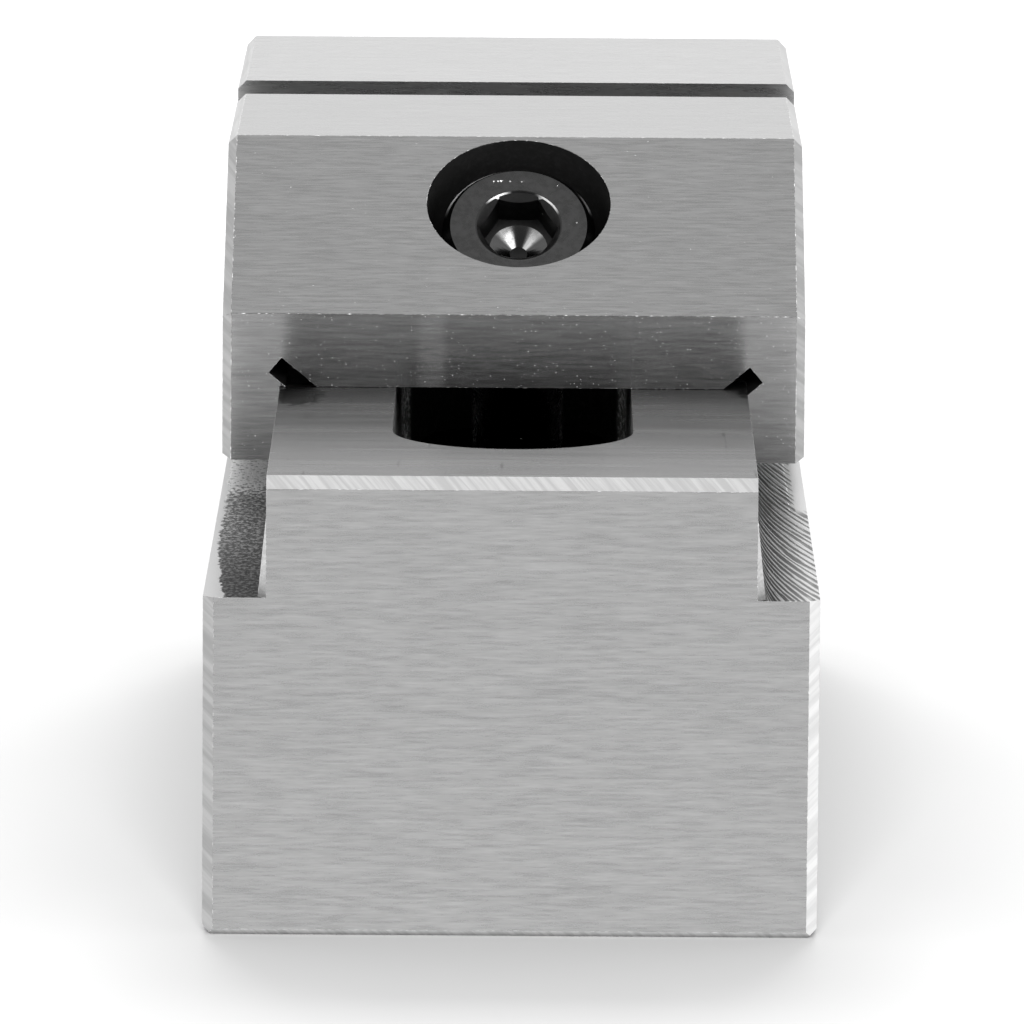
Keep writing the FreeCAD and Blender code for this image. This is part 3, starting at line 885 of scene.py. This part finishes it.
def make_floor():
    """A white table. What the steel mirrors of it glows evenly, with a painted shadow over the vise's
    footprint.
    """
    shape = bmesh.new()
    bmesh.ops.create_grid(shape, x_segments=1, y_segments=1, size=3.0)
    mesh = bpy.data.meshes.new("studio_floor")
    shape.to_mesh(mesh)
    shape.free()
    floor = bpy.data.objects.new("studio_floor", mesh)
    bpy.context.scene.collection.objects.link(floor)
    material = bpy.data.materials.new("studio_floor")
    material.use_nodes = True
    tree = material.node_tree
    tree.nodes.remove(tree.nodes["Principled BSDF"])
    light_path = tree.nodes.new("ShaderNodeLightPath")
    level = blend(tree, light_path.outputs["Is Camera Ray"], FLOOR_COLOUR, FLOOR_SEEN)
    table = add_node(tree, "ShaderNodeBsdfDiffuse", {"Color": to_grey(tree, level)})
    place = tree.nodes.new("ShaderNodeTexCoord").outputs["Object"]
    parts = add_node(tree, "ShaderNodeSeparateXYZ", {"Vector": place})
    # Painted shadow: in what the steel mirrors, the table is dark where the vise stands.
    beside = remap(tree, calc(tree, "ABSOLUTE", parts.outputs["X"]), BASE_SIDE - 1 * MM, BASE_SIDE + 1 * MM)
    beyond = remap(tree, calc(tree, "ABSOLUTE", parts.outputs["Y"]), -REAR - 1 * MM, -REAR + 1 * MM)
    clear = calc(tree, "MAXIMUM", beside, beyond)
    strength = calc(tree, "MULTIPLY", clear, FLOOR_MIRRORED)
    even = add_node(tree, "ShaderNodeEmission", {"Strength": strength})
    mirrored = calc(
        tree, "MAXIMUM", light_path.outputs["Is Glossy Ray"], light_path.outputs["Is Transmission Ray"]
    )
    shader = add_node(tree, "ShaderNodeMixShader", {0: mirrored, 1: table.outputs[0], 2: even.outputs[0]})
    tree.links.new(shader.outputs[0], tree.nodes["Material Output"].inputs["Surface"])
    material.cycles.emission_sampling = "NONE"
    mesh.materials.append(material)


# How light the tent is behind the camera
WORLD_BEHIND = 0.15


def make_world():
    """A white tent: brightest beyond the vise and to its right, darker behind the camera."""
    world = bpy.data.worlds.new("studio")
    bpy.context.scene.world = world
    world.use_nodes = True
    tree = world.node_tree
    direction = tree.nodes.new("ShaderNodeTexCoord").outputs["Generated"]
    parts = add_node(tree, "ShaderNodeSeparateXYZ", {"Vector": direction})
    overhead = remap(tree, parts.outputs["Y"], -0.75, -0.2, WORLD_BEHIND, 0.78)
    forward = remap(tree, parts.outputs["Y"], 0.1, 1.0, 0.0, 0.66)
    rightward = remap(tree, parts.outputs["X"], 0.2, 1.0, 0.0, 0.15)
    level = calc(tree, "ADD", calc(tree, "ADD", overhead, forward), rightward)
    seen = tree.nodes.new("ShaderNodeLightPath").outputs["Is Camera Ray"]
    background = tree.nodes["Background"]
    tree.links.new(to_grey(tree, blend(tree, seen, level, 1.0)), background.inputs["Color"])


def add_softbox(name, place, aim, size, power, mirrored):
    """A soft square lamp that faces a point. It is either mirrored in the metal or lights the table."""
    lamp = bpy.data.lights.new(name, "AREA")
    lamp.shape = "RECTANGLE"
    lamp.size, lamp.size_y = size
    lamp.energy = power
    lamp_object = bpy.data.objects.new(name, lamp)
    bpy.context.scene.collection.objects.link(lamp_object)
    lamp_object.visible_glossy = mirrored
    lamp_object.visible_diffuse = not mirrored
    lamp_object.location = place
    lamp_object.rotation_euler = (Vector(aim) - Vector(place)).to_track_quat("-Z", "Y").to_euler()


def make_camera():
    """The photograph's viewpoint: far back, a little above the vise, with a long lens."""
    pitch = math.radians(8.9875)
    yaw = math.radians(-0.0555)
    roll = math.radians(0.389)
    ahead = Vector((math.sin(yaw) * math.cos(pitch), math.cos(yaw) * math.cos(pitch), -math.sin(pitch)))
    right = ahead.cross(Vector((0, 0, 1))).normalized()
    up = right.cross(ahead)
    rolled_right = right * math.cos(roll) + up * math.sin(roll)
    rolled_up = up * math.cos(roll) - right * math.sin(roll)
    lens = bpy.data.cameras.new("photo_camera")
    lens.sensor_width = 36.0
    lens.lens = 398.56
    camera = bpy.data.objects.new("photo_camera", lens)
    bpy.context.scene.collection.objects.link(camera)
    turn = Matrix((rolled_right, rolled_up, -ahead)).transposed().to_4x4()
    camera.matrix_world = Matrix.Translation((0.8646 * MM, -976.13 * MM, 178.04 * MM)) @ turn
    bpy.context.view_layer.update()
    bpy.context.scene.camera = camera


def mirrored_by_cone(angle):
    """Where the camera's view goes from the socket's cone, at an angle from +X about the screw."""
    outward = Vector((math.cos(angle), 0, 0)) + SCREW_UP * math.sin(angle)
    normal = -SCREW_IN * math.cos(CONE_SLOPE) - outward * math.sin(CONE_SLOPE)
    ahead = (SCREW_MOUTH - bpy.context.scene.camera.location).normalized()
    return ahead.reflect(normal)


make_floor()
make_world()
make_camera()
rear_foot = (0, -0.07, 0)
add_softbox("back_lamp", (0, 0.8, 0.8), rear_foot, size=(0.6, 0.6), power=12.0, mirrored=False)
add_softbox("front_lamp", (0, -1.2, 0.5), rear_foot, size=(0.4, 0.4), power=20.0, mirrored=False)
for name, angle, power in (("left_key", 122, 1.6), ("right_key", 50, 0.7)):
    place = SCREW_MOUTH + mirrored_by_cone(math.radians(angle)) * 1.5
    add_softbox(name, place, SCREW_MOUTH, size=(0.6, 0.6), power=power, mirrored=True)
bpy.context.scene.view_settings.view_transform = "Standard"
